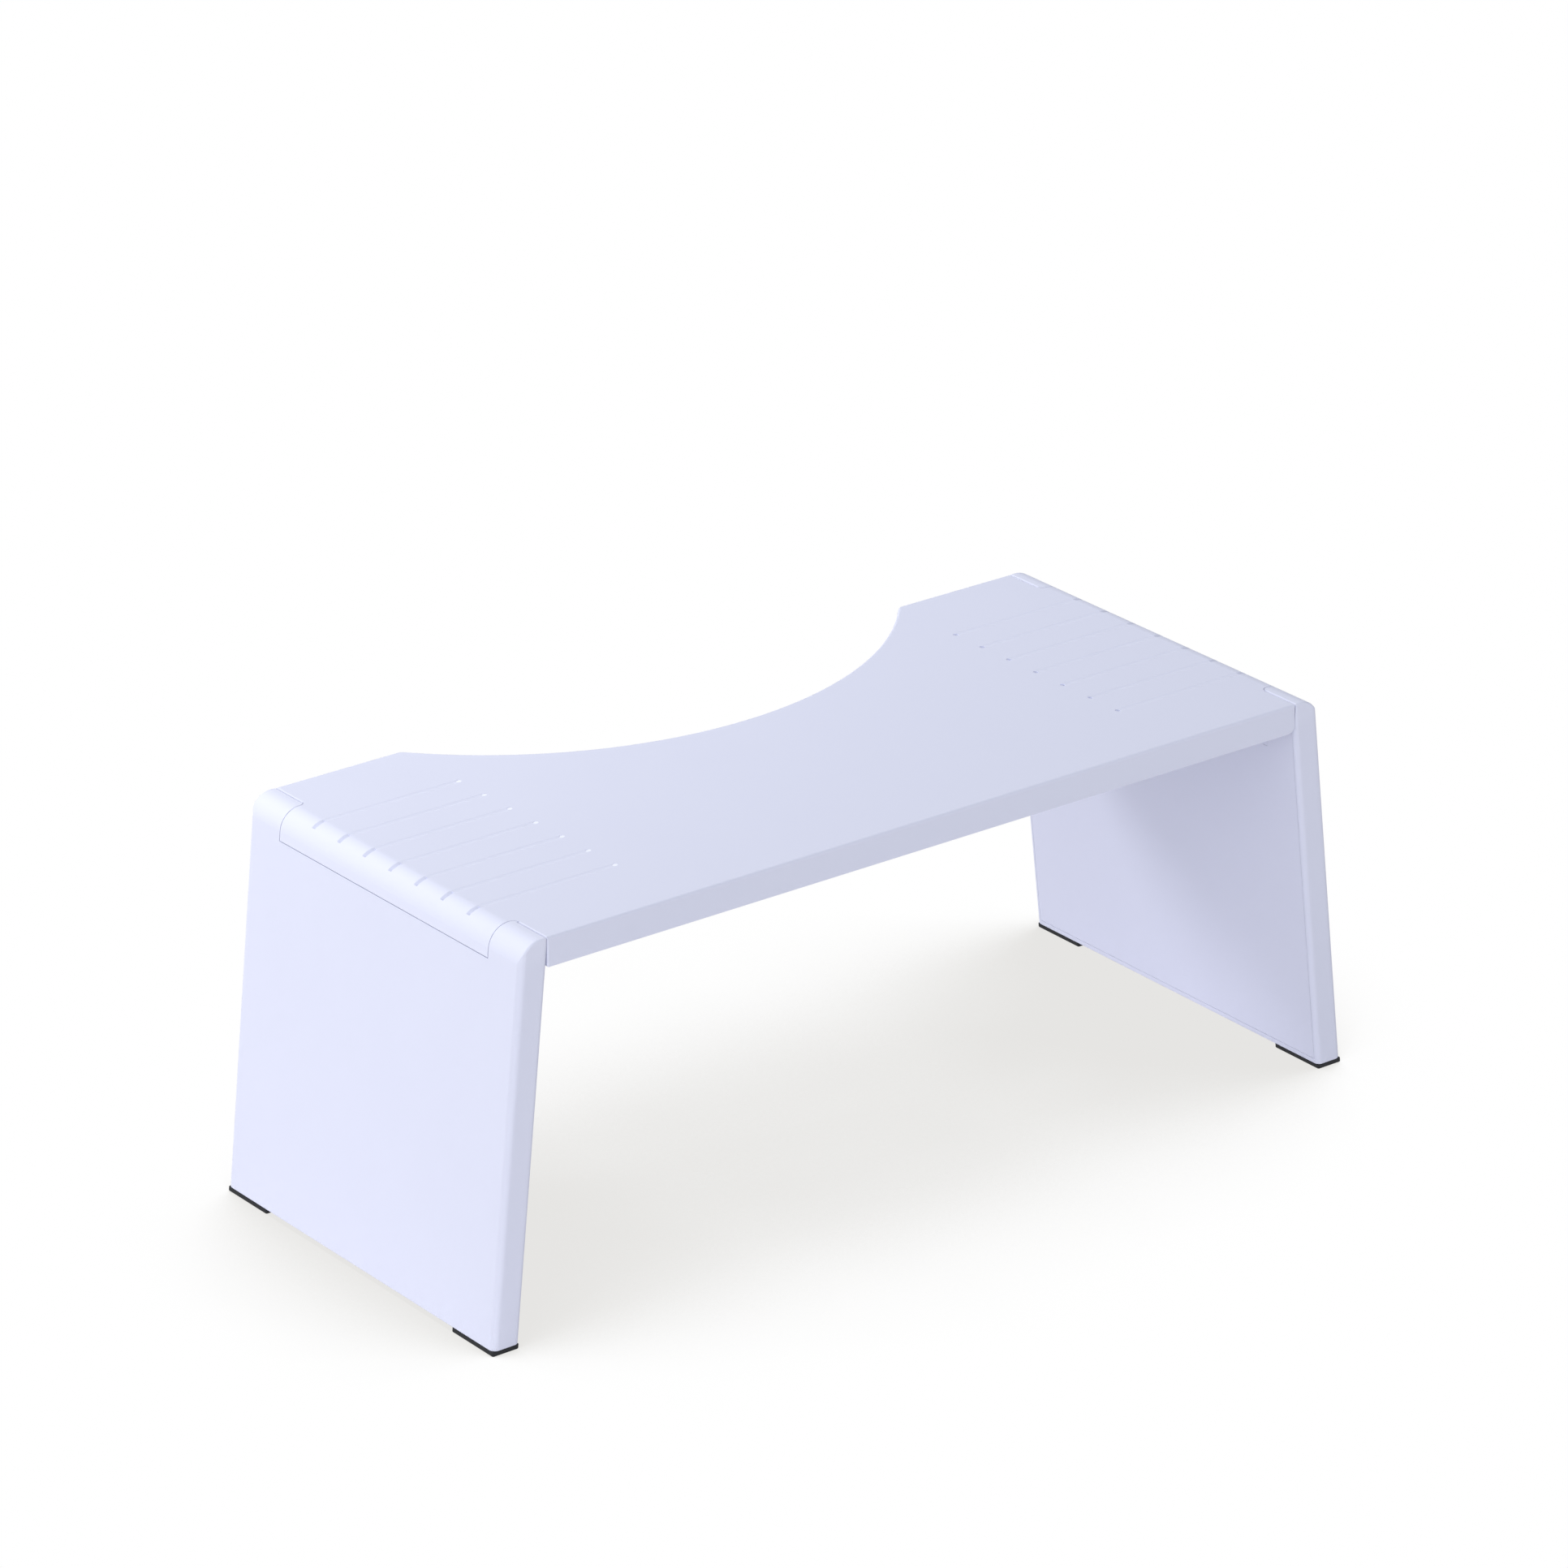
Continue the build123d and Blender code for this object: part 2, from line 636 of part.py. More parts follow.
with BuildPart() as left_hinge_rod:
    mirror(right_hinge_rod.part, about=Plane.YZ)
left_hinge_rod.part.label = "left_hinge_rod"

pieces = [
    deck_top_shell.part,
    deck_bottom_cover.part,
    front_deck_bar.part,
    rear_deck_bar.part,
    deck_screws.part,
    right_leg_outer_shell.part,
    right_leg_inner_cover.part,
    right_hinge_rod.part,
    left_leg_outer_shell.part,
    left_leg_inner_cover.part,
    left_hinge_rod.part,
]

# Rubber feet, each with two studs pressed up into the leg
for end_name, foot_y in foot_places.items():
    with BuildPart() as right_foot:
        add(across(leg_slab(0.0, foot_thickness, 0.0, 0.0), foot_y, foot_length))
        upright_edges = right_foot.faces().filter_by(Axis.Y).edges().filter_by(Axis.X, reverse=True)
        fillet(upright_edges, radius=foot_corner_round)
        fillet(right_foot.faces().sort_by(Axis.Z)[0].edges(), radius=foot_round)
        with BuildSketch(Plane.XY.offset(foot_thickness)):
            with Locations((foot_center_x, foot_y)):
                with GridLocations(0, stud_spacing, 1, 2):
                    Circle(stud_diameter / 2)
        extrude(amount=stud_length)
    with BuildPart() as left_foot:
        mirror(right_foot.part, about=Plane.YZ)
    right_foot.part.label = f"{end_name}_right_foot"
    left_foot.part.label = f"{end_name}_left_foot"
    pieces += [right_foot.part, left_foot.part]

os.makedirs("parts", exist_ok=True)
for piece in pieces:
    export_step(piece, f"parts/{piece.label}.step")
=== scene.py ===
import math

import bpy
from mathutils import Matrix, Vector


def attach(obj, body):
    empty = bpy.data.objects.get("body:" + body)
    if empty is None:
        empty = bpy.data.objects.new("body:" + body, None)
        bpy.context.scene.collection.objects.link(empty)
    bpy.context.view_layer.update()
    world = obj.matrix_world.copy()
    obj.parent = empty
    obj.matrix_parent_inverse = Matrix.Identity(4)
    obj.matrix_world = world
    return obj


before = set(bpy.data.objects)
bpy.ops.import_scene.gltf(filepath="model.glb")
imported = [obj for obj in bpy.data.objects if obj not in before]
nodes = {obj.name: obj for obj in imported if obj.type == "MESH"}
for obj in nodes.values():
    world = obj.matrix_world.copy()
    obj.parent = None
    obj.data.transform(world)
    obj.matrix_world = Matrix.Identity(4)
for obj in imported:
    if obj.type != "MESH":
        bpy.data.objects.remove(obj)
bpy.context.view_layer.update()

# %% [markdown]
# A folding footstool in pale lavender plastic. The engineering model is already
# loaded: every moulding stands where it belongs, in metres, with X along the
# stool, Y from its front to its rear and Z up. What is left to do here is what a
# product photographer and a finisher do: choose the viewpoint, build the white
# studio, and give each moulding the surface that its mould gave it.

print("mouldings and fittings:", ", ".join(sorted(nodes)))

# %% [markdown]
# The camera stands in front of the stool and to its left, looking down at 23
# degrees through a long lens. A long lens keeps the two legs nearly parallel, as
# in catalogue pictures. The direction is worked out from three angles, because
# that is how a photographer thinks of it: how far round, how high, how tilted.

# %% Camera
camera_place = Vector((-1.7178, -2.2605, 1.3656))
camera_round = math.radians(-37.163)
camera_height = math.radians(23.004)
camera_tilt = math.radians(-0.407)
sensor_width_mm = 36.0
lens_mm = 167.04


def camera_axes(turn, height, tilt):
    """Matrix whose columns are the camera's right, up and backward directions."""
    backward = Vector(
        (
            math.sin(turn) * math.cos(height),
            -math.cos(turn) * math.cos(height),
            math.sin(height),
        )
    )
    level = Vector((0, 0, 1)).cross(backward).normalized()
    upright = backward.cross(level)
    right = math.cos(tilt) * level + math.sin(tilt) * upright
    up = math.cos(tilt) * upright - math.sin(tilt) * level
    return Matrix((right, up, backward)).transposed()


camera_data = bpy.data.cameras.new("product_camera")
camera_data.lens = lens_mm
camera_data.sensor_width = sensor_width_mm
camera = bpy.data.objects.new("product_camera", camera_data)
camera.matrix_world = Matrix.Translation(camera_place) @ camera_axes(
    camera_round, camera_height, camera_tilt
).to_4x4()
bpy.context.scene.collection.objects.link(camera)
bpy.context.scene.camera = camera
print("camera is", round(camera_place.length, 2), "m from the middle of the stool")

# %% [markdown]
# Colours are written as hex values, the way a paint or masterbatch chart gives
# them. A renderer adds up light, so it needs them in linear form. One function
# does that for the whole file, with the numbers of the sRGB standard. A second one
# adds a node, sets its sockets and wires it, so that a material reads as a list of
# what it is made of.

# %% Colour and node helpers
scene = bpy.context.scene
scene.view_settings.view_transform = "Standard"


def colour(hex_value):
    """Linear colour for a node socket, from an sRGB hex value."""
    parts = [int(hex_value[i : i + 2], 16) / 255 for i in (1, 3, 5)]
    linear = [p / 12.92 if p <= 0.04045 else ((p + 0.055) / 1.055) ** 2.4 for p in parts]
    return (*linear, 1.0)


def add_node(tree, kind, settings=None, links=None):
    """Add a node, set its sockets or properties, and wire the sockets that are linked."""
    node = tree.nodes.new(kind)
    for key, value in (settings or {}).items():
        if isinstance(key, int) or key in node.inputs:
            node.inputs[key].default_value = value
        else:
            setattr(node, key, value)
    for key, source in (links or {}).items():
        tree.links.new(source, node.inputs[key])
    return node


def new_material(name):
    """An empty node material and its tree."""
    material = bpy.data.materials.new(name)
    material.use_nodes = True
    material.node_tree.nodes.clear()
    return material, material.node_tree


middle_grey = "#808080"
print("middle grey", middle_grey, "is", round(colour(middle_grey)[0], 3), "in linear light")

# %% [markdown]
# The studio is a white sweep: a floor without edges that runs into a white
# background. It could be a sheet that curves up into a wall, but one big plane
# serves, because its far edges lie outside the picture.

# %% Floor
floor_size = 12.0
bpy.ops.object.select_all(action="DESELECT")
bpy.ops.mesh.primitive_plane_add(size=floor_size, location=(0, 0, 0))
floor = bpy.context.object
floor.name = "studio_floor"
print("floor is", floor_size, "m across")

# %% [markdown]
# A plain white floor under soft light would come out grey. So the floor and the
# background behave in two ways. The light that they throw on the stool is that of
# the studio, while what the camera, mirrors and glass show of them is plain white,
# apart from the shadow under the stool. A ray knows what it was sent for, and that is
# what tells the two apart.

# %% Rays that show the background
def seen_directly(tree):
    """1 for rays that show the background: from the camera, a mirror or through glass."""
    rays = add_node(tree, "ShaderNodeLightPath")
    seen = rays.outputs["Is Camera Ray"]
    for kind in ("Is Glossy Ray", "Is Transmission Ray"):
        both = {0: seen, 1: rays.outputs[kind]}
        seen = add_node(tree, "ShaderNodeMath", {"operation": "MAXIMUM"}, both).outputs[0]
    return seen


print("seen_directly gives", seen_directly.__doc__)

# %% [markdown]
# The sweep is matt white paper. What is seen of it glows by itself, at a strength of
# 1, which is plain white. Its shadow is the soft grey of a place that the light can't
# reach. That is worked out from the open share, which is how much of the room around
# a point the stool leaves free. From below the floor is clear, so that the underside
# of the stool can be looked at too.

# %% White paper of the sweep
paper = "#F3F0EE"
seen_white = "#FFFFFF"
seen_strength = 1.0
seen_shade = "#E6E5E3"
shade_reach = 0.3
full_shade_share = 0.48
no_shade_share = 0.81

floor_material, tree = new_material("white_paper_sweep")
bounced = add_node(tree, "ShaderNodeBsdfDiffuse", {"Color": colour(paper)})
open_share = add_node(tree, "ShaderNodeAmbientOcclusion", {"Distance": shade_reach})
lightness = add_node(
    tree,
    "ShaderNodeMapRange",
    {
        "interpolation_type": "SMOOTHSTEP",
        "From Min": full_shade_share,
        "From Max": no_shade_share,
    },
    {"Value": open_share.outputs["AO"]},
)
seen_colour = add_node(
    tree,
    "ShaderNodeMix",
    {"data_type": "RGBA", 6: colour(seen_shade), 7: colour(seen_white)},
    {0: lightness.outputs[0]},
)
shown = add_node(
    tree, "ShaderNodeEmission", {"Strength": seen_strength}, {"Color": seen_colour.outputs[2]}
)
blend = add_node(
    tree,
    "ShaderNodeMixShader",
    links={0: seen_directly(tree), 1: bounced.outputs[0], 2: shown.outputs[0]},
)
side_seen = add_node(tree, "ShaderNodeNewGeometry")
clear = add_node(tree, "ShaderNodeBsdfTransparent")
one_sided = add_node(
    tree,
    "ShaderNodeMixShader",
    links={0: side_seen.outputs["Backfacing"], 1: blend.outputs[0], 2: clear.outputs[0]},
)
add_node(tree, "ShaderNodeOutputMaterial", links={"Surface": one_sided.outputs[0]})
floor.data.materials.append(floor_material)
print("paper:", floor_material.name, "shades points within", shade_reach, "m of the stool")

# %% [markdown]
# Much of the light comes from all round, as in a white tent that is open to a
# bright window in front of the stool, on its left. The strength rises from dim, side
# on to that window and behind, to bright, where a direction faces it squarely. A
# picture of a studio could light the stool too, but a strength that is worked out
# from the direction needs no file and can be tuned with two numbers. To the camera
# the background is white whatever light it gives.

# %% White tent
tent_dim = 0.385
tent_bright = 1.575
tent_tint = "#F9FBFF"
bright_side = Vector((-0.7071, -0.7071, 0.0))
side_on = 0.0
face_on = 1.0

world = bpy.data.worlds.new("white_tent")
world.use_nodes = True
scene.world = world
tree = world.node_tree
tree.nodes.clear()
direction = add_node(tree, "ShaderNodeTexCoord").outputs["Generated"]
towards_bright = add_node(
    tree, "ShaderNodeVectorMath", {"operation": "DOT_PRODUCT", 1: bright_side}, {0: direction}
)
strength = add_node(
    tree,
    "ShaderNodeMapRange",
    {"From Min": side_on, "From Max": face_on, "To Min": tent_dim, "To Max": tent_bright},
    {"Value": towards_bright.outputs["Value"]},
)
tent = add_node(
    tree, "ShaderNodeBackground", {"Color": colour(tent_tint)}, {"Strength": strength.outputs[0]}
)
white = add_node(
    tree, "ShaderNodeBackground", {"Color": colour(seen_white), "Strength": seen_strength}
)
blend = add_node(
    tree,
    "ShaderNodeMixShader",
    links={0: seen_directly(tree), 1: tent.outputs[0], 2: white.outputs[0]},
)
add_node(tree, "ShaderNodeOutputWorld", links={"Surface": blend.outputs[0]})
print("tent gives from", tent_dim, "to", tent_bright, "of full white")

# %% [markdown]
# A softbox hangs high behind the stool's left end. It makes the rounded end the
# brightest part, fades over the tread towards the right, and reaches the inner face
# of the right leg, while the deck keeps the top of that face in its shadow. An area
# light is Blender's softbox, and the smaller it is, the crisper its shadow, so this
# one is small enough for the edge of that shadow to show. A larger, weaker one lifts
# the left leg.

# %% Softboxes
stool_middle = (0, 0, 0.12)
key_place = (-0.5, 0.9, 1.1)
key_size = 0.35
key_power = 10.1
side_place = (-1.2, -0.5, 0.5)
side_size = 0.6
side_power = 1.1


def add_softbox(name, place, target, size, power):
    """A square area light at a place, turned towards a target."""
    data = bpy.data.lights.new(name, "AREA")
    data.shape = "SQUARE"
    data.size = size
    data.energy = power
    box = bpy.data.objects.new(name, data)
    aim = Vector(target) - Vector(place)
    facing = aim.to_track_quat("-Z", "Y").to_matrix().to_4x4()
    box.matrix_world = Matrix.Translation(place) @ facing
    scene.collection.objects.link(box)
    return box


key_box = add_softbox("rear_left_softbox", key_place, stool_middle, key_size, key_power)
side_box = add_softbox("left_softbox", side_place, stool_middle, side_size, side_power)
for box in (key_box, side_box):
    print(box.name, "stands at", tuple(round(c, 2) for c in box.matrix_world.translation))

# %% [markdown]
# The stool is injection moulded in polypropylene with a pale lavender
# masterbatch. The mould was spark eroded, which leaves a fine matt grain on every
# broad face. The grain is finer than a pixel here, so it is drawn at about twice its
# real size. Wide, faint clouds in tone and gloss come from the melt as it flows. The
# smooth places are a little paler and have no grain. The index of refraction is that
# of any polypropylene. A noise texture stays mostly between 0.3 and 0.7, so those are
# the ends of each range that follows one.

# %% Tones and grain of the polypropylene
millimetre = 0.001
grain_mm = 0.9
grain_detail = 2.0
grain_raggedness = 0.6
grain_relief_mm = 0.018
cloud_mm = 45.0
cloud_detail = 3.0
matt_lavender = "#D7DAED"
matt_lavender_light = "#DADDEF"
smooth_lavender = "#DBDEF0"
polypropylene_ior = 1.49
matt_roughness = 0.62
matt_roughness_spread = 0.04
smooth_roughness = 0.68
noise_low = 0.3
noise_middle = 0.5
noise_high = 0.7
print("grain", grain_mm, "mm wide and", grain_relief_mm, "mm deep")

# %% [markdown]
# The rounded ends of the deck and the tops of the legs' ears were left smooth in the
# mould, so they take a soft highlight. On the deck a crisp line parts smooth from
# matt, and on the ears the one fades into the other. Their faces could be given a
# second material, but the line doesn't follow the edges of the faces. So the places
# are worked out from the object's own coordinates, which stay with the moulding when
# a leg folds. On the deck a point is smooth when it lies past the line and on the
# skin of the round end, so the grooves that are cut into it stay matt. That end is
# rounded as a quarter of a circle, so its skin is nowhere nearer than one radius to
# the middle of the circle.

# %% Where the plastic is smooth
round_radius_mm = 10.0
round_centre_x_mm = 200.12
round_centre_z_mm = 168.0
smooth_start_x_mm = 201.3
groove_skin_mm = 0.1
ear_start_z_mm = 166.0
ear_full_z_mm = 172.0


def smooth_deck_end(tree, place):
    """1 on the rounded ends of the deck, 0 on the flat tread and in the grooves."""
    axes = add_node(tree, "ShaderNodeSeparateXYZ", links={0: place})
    along = add_node(tree, "ShaderNodeMath", {"operation": "ABSOLUTE"}, {0: axes.outputs["X"]})
    past_line = add_node(
        tree,
        "ShaderNodeMath",
        {"operation": "GREATER_THAN", 1: smooth_start_x_mm * millimetre},
        {0: along.outputs[0]},
    )
    profile = add_node(
        tree, "ShaderNodeCombineXYZ", links={"X": along.outputs[0], "Z": axes.outputs["Z"]}
    )
    round_centre = Vector((round_centre_x_mm, 0, round_centre_z_mm)) * millimetre
    reach = add_node(
        tree,
        "ShaderNodeVectorMath",
        {"operation": "DISTANCE", 1: round_centre},
        {0: profile.outputs[0]},
    )
    on_skin = add_node(
        tree,
        "ShaderNodeMath",
        {"operation": "GREATER_THAN", 1: (round_radius_mm - groove_skin_mm) * millimetre},
        {0: reach.outputs["Value"]},
    )
    both = {0: past_line.outputs[0], 1: on_skin.outputs[0]}
    return add_node(tree, "ShaderNodeMath", {"operation": "MULTIPLY"}, both).outputs[0]


def smooth_ear(tree, place):
    """1 on the ears of a leg, fading to 0 a little below them."""
    axes = add_node(tree, "ShaderNodeSeparateXYZ", links={0: place})
    fade = add_node(
        tree,
        "ShaderNodeMapRange",
        {"From Min": ear_start_z_mm * millimetre, "From Max": ear_full_z_mm * millimetre},
        {"Value": axes.outputs["Z"]},
    )
    return fade.outputs[0]


print("smooth from", smooth_start_x_mm, "mm along the deck and", ear_full_z_mm, "mm up the ears")

# %% [markdown]
# One recipe serves the deck, the legs and the covers. It mixes two near tones by the
# clouds and lets the gloss follow them. Grain this fine would take millions of faces
# as a shape, so a bump in the shading stands for it. Where a place is marked as
# smooth, the tone and the gloss change over, and the grain is levelled to its middle
# height.

# %% Recipe for moulded polypropylene
def moulded_polypropylene(name, smooth_mask=None):
    """Lavender polypropylene with a spark eroded grain, smooth where the mask is 1."""
    material, tree = new_material(name)
    place = add_node(tree, "ShaderNodeTexCoord").outputs["Object"]
    grain = add_node(
        tree,
        "ShaderNodeTexNoise",
        {
            "Scale": 1 / (grain_mm * millimetre),
            "Detail": grain_detail,
            "Roughness": grain_raggedness,
        },
        {"Vector": place},
    )
    cloud = add_node(
        tree,
        "ShaderNodeTexNoise",
        {"Scale": 1 / (cloud_mm * millimetre), "Detail": cloud_detail},
        {"Vector": place},
    )
    matt_colour = add_node(
        tree,
        "ShaderNodeMix",
        {"data_type": "RGBA", 6: colour(matt_lavender), 7: colour(matt_lavender_light)},
        {0: cloud.outputs["Fac"]},
    )
    roughness = add_node(
        tree,
        "ShaderNodeMapRange",
        {
            "From Min": noise_low,
            "From Max": noise_high,
            "To Min": matt_roughness - matt_roughness_spread,
            "To Max": matt_roughness + matt_roughness_spread,
        },
        {"Value": cloud.outputs["Fac"]},
    )
    relief = grain.outputs["Fac"]
    base = matt_colour.outputs[2]
    rough = roughness.outputs[0]
    if smooth_mask:
        mask = smooth_mask(tree, place)
        base = add_node(
            tree,
            "ShaderNodeMix",
            {"data_type": "RGBA", 7: colour(smooth_lavender)},
            {0: mask, 6: base},
        ).outputs[2]
        rough = add_node(
            tree, "ShaderNodeMix", {"data_type": "FLOAT", 3: smooth_roughness}, {0: mask, 2: rough}
        ).outputs[0]
        relief = add_node(
            tree, "ShaderNodeMix", {"data_type": "FLOAT", 3: noise_middle}, {0: mask, 2: relief}
        ).outputs[0]
    bump = add_node(
        tree, "ShaderNodeBump", {"Distance": grain_relief_mm * millimetre}, {"Height": relief}
    )
    surface = add_node(
        tree,
        "ShaderNodeBsdfPrincipled",
        {"IOR": polypropylene_ior},
        {"Base Color": base, "Roughness": rough, "Normal": bump.outputs[0]},
    )
    add_node(tree, "ShaderNodeOutputMaterial", links={"Surface": surface.outputs[0]})
    return material


print("moulded_polypropylene gives", moulded_polypropylene.__doc__)

# %% [markdown]
# The deck and the legs each have their own smooth places. The covers have none,
# because they are flat plates that were moulded matt all over.

# %% Plastic of the deck, the legs and the covers
deck_plastic = moulded_polypropylene("spark_eroded_polypropylene_tread", smooth_deck_end)
leg_plastic = moulded_polypropylene("spark_eroded_polypropylene_leg", smooth_ear)
cover_plastic = moulded_polypropylene("spark_eroded_polypropylene_cover")
for plastic in (deck_plastic, leg_plastic, cover_plastic):
    print("plastic:", plastic.name, "with", len(plastic.node_tree.nodes), "nodes")

# %% [markdown]
# Each groove of the tread has a small dot at its inner end. The mould is polished there, so the
# plastic is smooth, with faint marks where the melt flowed into so small a place. Its colour is
# much paler than the grained tread's, and that paleness is a painted highlight: it stands in for
# the glint that the little ramps catch from the light.

# %% Polished polypropylene with a painted glint
# These pale tones are a painted highlight, a glint painted into the colour of the dots.
painted_glint_lavender = "#E8EBF9"
painted_glint_lavender_light = "#EEF1FD"
polished_rough_low = 0.38
polished_rough_high = 0.46
flow_mark_mm = 0.8
flow_mark_detail = 2.0


def polished_polypropylene_with_painted_glint(name):
    """Polished lavender polypropylene with faint flow marks, its paleness a painted glint."""
    material, tree = new_material(name)
    place = add_node(tree, "ShaderNodeTexCoord").outputs["Object"]
    flow = add_node(
        tree,
        "ShaderNodeTexNoise",
        {"Scale": 1 / (flow_mark_mm * millimetre), "Detail": flow_mark_detail},
        {"Vector": place},
    )
    tone = add_node(
        tree,
        "ShaderNodeMix",
        {"data_type": "RGBA", 6: colour(painted_glint_lavender), 7: colour(painted_glint_lavender_light)},
        {0: flow.outputs["Fac"]},
    )
    roughness = add_node(
        tree,
        "ShaderNodeMapRange",
        {
            "From Min": noise_low,
            "From Max": noise_high,
            "To Min": polished_rough_low,
            "To Max": polished_rough_high,
        },
        {"Value": flow.outputs["Fac"]},
    )
    surface = add_node(
        tree,
        "ShaderNodeBsdfPrincipled",
        {"IOR": polypropylene_ior},
        {"Base Color": tone.outputs[2], "Roughness": roughness.outputs[0]},
    )
    add_node(tree, "ShaderNodeOutputMaterial", links={"Surface": surface.outputs[0]})
    return material


polished_plastic_with_painted_glint = polished_polypropylene_with_painted_glint("polished_polypropylene_with_painted_glint")
print("plastic:", polished_plastic_with_painted_glint.name, "in tones", painted_glint_lavender, painted_glint_lavender_light)

# %% [markdown]
# The engineering model starts each groove with a plain pit in the tread. On the moulding that pit
# is filled by a small ramp, which starts level with the tread and falls towards the near end of
# the stool. The ramps at the left end are shallow and face the light, so they are bright, and
# their pale colour adds a painted highlight. Those at the right end are steeper and turned from
# it, so they are dark dots, in the same pale colour. A ramp is made from a short plug as wide as
# the pit, set half above the tread. One slanting cut takes that half off and leaves the ramp. Only
# the first one at each end is made like this, in the pit nearest to the front. The engineering
# model leaves such small detail to this file.

# %% The first ramp at each end
ramp_radius_mm = 1.15
ramp_sides = 32
left_ramp_slope = math.radians(8)
right_ramp_slope = math.radians(25)
pit_x_mm = 133.0
pit_depth_mm = 0.9
tread_z_mm = 177.98
groove_pitch_mm = 18.5
grooves_at_an_end = 7
first_row_y_mm = -(grooves_at_an_end - 1) / 2 * groove_pitch_mm

ramps = []
for side, slope in ((-1, left_ramp_slope), (1, right_ramp_slope)):
    pit_mm = Vector((side * pit_x_mm, first_row_y_mm, tread_z_mm))
    bpy.ops.mesh.primitive_cylinder_add(
        vertices=ramp_sides,
        radius=ramp_radius_mm * millimetre,
        depth=2 * pit_depth_mm * millimetre,
        location=pit_mm * millimetre,
    )
    top_of_slope_mm = pit_mm - Vector((side * ramp_radius_mm, 0, 0))
    cut_normal = Vector((side * math.sin(slope), 0, math.cos(slope)))
    bpy.ops.object.mode_set(mode="EDIT")
    bpy.ops.mesh.select_all(action="SELECT")
    bpy.ops.mesh.bisect(
        plane_co=top_of_slope_mm * millimetre,
        plane_no=cut_normal,
        use_fill=True,
        clear_outer=True,
    )
    bpy.ops.object.mode_set(mode="OBJECT")
    ramps.append(bpy.context.object)
print("ramps cut:", len(ramps))

# %% [markdown]
# Every other ramp is a copy of the one before it, one groove further back. Both ends
# are copied together, and a copy that isn't linked has a mesh of its own.

# %% Ramps in the other grooves
bpy.ops.object.select_all(action="DESELECT")
for ramp in ramps:
    ramp.select_set(True)
while len(ramps) < 2 * grooves_at_an_end:
    bpy.ops.object.duplicate(linked=False)
    bpy.ops.transform.translate(value=(0, groove_pitch_mm * millimetre, 0))
    ramps.extend(bpy.context.selected_objects)
print("ramps:", len(ramps), "the last at y", round(ramps[-1].location.y, 4), "m")

# %% [markdown]
# The ramps belong to one moulding, so they become one piece. Its place goes into its
# mesh, as on every piece here, and it moves with the deck.

# %% One piece for all the ramps
for ramp in ramps:
    ramp.select_set(True)
bpy.context.view_layer.objects.active = ramps[0]
bpy.ops.object.join()
bpy.ops.object.transform_apply(location=True, rotation=True, scale=True)
groove_ramps = bpy.context.object
groove_ramps.name = "groove_ramps"
# The pale colour of the ramps is a painted highlight.
groove_ramps.data.materials.append(polished_plastic_with_painted_glint)
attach(groove_ramps, "deck")
print(groove_ramps.name, "has", len(groove_ramps.data.polygons), "faces")

# %% [markdown]
# The feet are soft black rubber, compression moulded, with the dull bloom that
# such rubber shows. Its index of refraction is that of natural rubber. It reflects
# little, so its grain shows in the roughness more than in the colour. The grain is
# drawn coarse enough to show at the size of a foot.

# %% Rubber
rubber_black = "#0F1116"
rubber_bloom = "#191C23"
rubber_ior = 1.52
rubber_rough_low = 0.72
rubber_rough_high = 0.88
rubber_grain_mm = 1.2
rubber_grain_detail = 3.0
rubber_relief_mm = 0.03


def moulded_rubber(name):
    """Dull black rubber with a faint bloom."""
    material, tree = new_material(name)
    place = add_node(tree, "ShaderNodeTexCoord").outputs["Object"]
    grain = add_node(
        tree,
        "ShaderNodeTexNoise",
        {"Scale": 1 / (rubber_grain_mm * millimetre), "Detail": rubber_grain_detail},
        {"Vector": place},
    )
    bloom = add_node(
        tree,
        "ShaderNodeMix",
        {"data_type": "RGBA", 6: colour(rubber_black), 7: colour(rubber_bloom)},
        {0: grain.outputs["Fac"]},
    )
    roughness = add_node(
        tree,
        "ShaderNodeMapRange",
        {
            "From Min": noise_low,
            "From Max": noise_high,
            "To Min": rubber_rough_low,
            "To Max": rubber_rough_high,
        },
        {"Value": grain.outputs["Fac"]},
    )
    bump = add_node(
        tree,
        "ShaderNodeBump",
        {"Distance": rubber_relief_mm * millimetre},
        {"Height": grain.outputs["Fac"]},
    )
    surface = add_node(
        tree,
        "ShaderNodeBsdfPrincipled",
        {"IOR": rubber_ior},
        {
            "Base Color": bloom.outputs[2],
            "Roughness": roughness.outputs[0],
            "Normal": bump.outputs[0],
        },
    )
    add_node(tree, "ShaderNodeOutputMaterial", links={"Surface": surface.outputs[0]})
    return material


foot_rubber = moulded_rubber("compression_moulded_rubber")
print("rubber:", foot_rubber.name, "with a grain of", rubber_grain_mm, "mm")

# %% [markdown]
# The steel inside is seen only from below or through the gaps, but it is finished
# all the same. Each kind is bare or plated metal in two near tones, in patches that
# may be drawn out along the piece. One noise texture can do them all: a scale below 1
# along an axis draws it out that way, because it is then read in shorter steps.

# %% Recipe for steel
patch_detail = 4.0


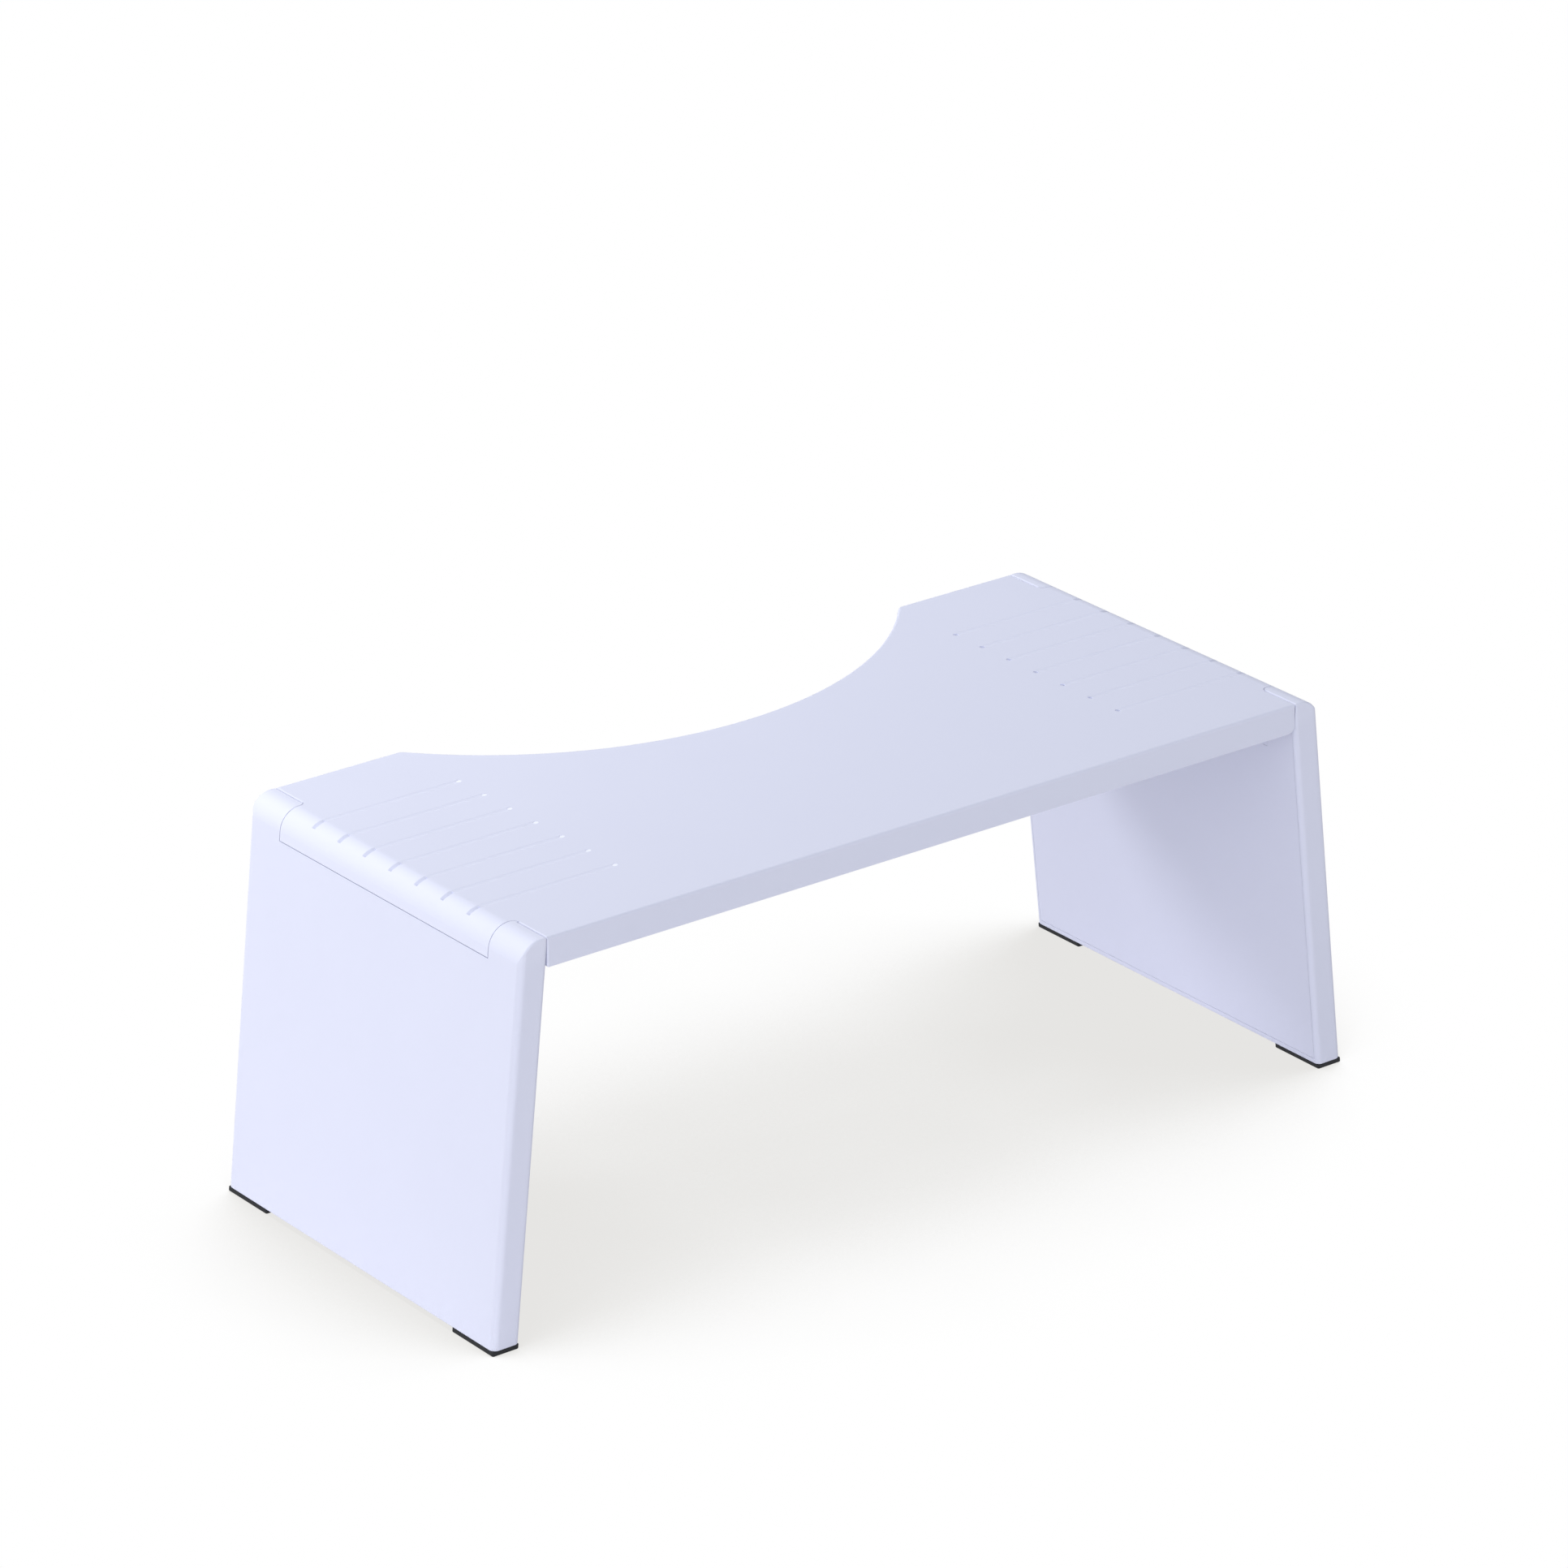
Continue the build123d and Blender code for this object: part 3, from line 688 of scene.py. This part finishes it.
def patchy_steel(name, patch_mm, pattern_scale, pale, dark, rough_low, rough_high):
    """Steel with patches of two tones, drawn out along the axis whose scale is small."""
    material, tree = new_material(name)
    place = add_node(tree, "ShaderNodeTexCoord").outputs["Object"]
    drawn = add_node(tree, "ShaderNodeMapping", {"Scale": pattern_scale}, {"Vector": place})
    patches = add_node(
        tree,
        "ShaderNodeTexNoise",
        {"Scale": 1 / (patch_mm * millimetre), "Detail": patch_detail},
        {"Vector": drawn.outputs[0]},
    )
    tone = add_node(
        tree,
        "ShaderNodeMix",
        {"data_type": "RGBA", 6: colour(dark), 7: colour(pale)},
        {0: patches.outputs["Fac"]},
    )
    roughness = add_node(
        tree,
        "ShaderNodeMapRange",
        {
            "From Min": noise_low,
            "From Max": noise_high,
            "To Min": rough_low,
            "To Max": rough_high,
        },
        {"Value": patches.outputs["Fac"]},
    )
    surface = add_node(
        tree,
        "ShaderNodeBsdfPrincipled",
        {"Metallic": 1.0},
        {"Base Color": tone.outputs[2], "Roughness": roughness.outputs[0]},
    )
    add_node(tree, "ShaderNodeOutputMaterial", links={"Surface": surface.outputs[0]})
    return material


print("patchy_steel gives", patchy_steel.__doc__)

# %% [markdown]
# Zinc plate on the tubes and screws has a pale bluish skin with cloudy patches, five
# times as long as wide on the tubes. The hinge rods are bright drawn bar, with fine
# lines that run along them.

# %% Steel of the tubes, the screws and the rods
zinc_pale = "#C6C9CE"
zinc_dark = "#A9ADB4"
steel_bright = "#C9C8C5"

tube_steel = patchy_steel(
    "zinc_plated_tube",
    patch_mm=6.0,
    pattern_scale=(0.2, 1, 1),
    pale=zinc_pale,
    dark=zinc_dark,
    rough_low=0.32,
    rough_high=0.46,
)
screw_steel = patchy_steel(
    "zinc_plated_screw",
    patch_mm=1.5,
    pattern_scale=(1, 1, 1),
    pale=zinc_pale,
    dark=zinc_dark,
    rough_low=0.28,
    rough_high=0.4,
)
rod_steel = patchy_steel(
    "bright_drawn_bar",
    patch_mm=0.8,
    pattern_scale=(1, 0.03, 1),
    pale=steel_bright,
    dark=zinc_dark,
    rough_low=0.22,
    rough_high=0.34,
)
print("steels:", tube_steel.name, screw_steel.name, rod_steel.name)

# %% [markdown]
# Each moulding and fitting gets the finish of what it is. The last words of a name say
# that, such as foot or hinge_rod, so one short table serves both ends of the stool.

# %% Give each moulding and fitting its finish
finishes = {
    "deck_top_shell": deck_plastic,
    "deck_bottom_cover": cover_plastic,
    "leg_outer_shell": leg_plastic,
    "leg_inner_cover": cover_plastic,
    "foot": foot_rubber,
    "deck_bar": tube_steel,
    "deck_screws": screw_steel,
    "hinge_rod": rod_steel,
}
for node_name, node in nodes.items():
    finish = next(finishes[ending] for ending in finishes if node_name.endswith(ending))
    node.data.materials.clear()
    node.data.materials.append(finish)
    print(node_name, "is", finish.name)

# %% [markdown]
# The finish may not change the size of the stool.
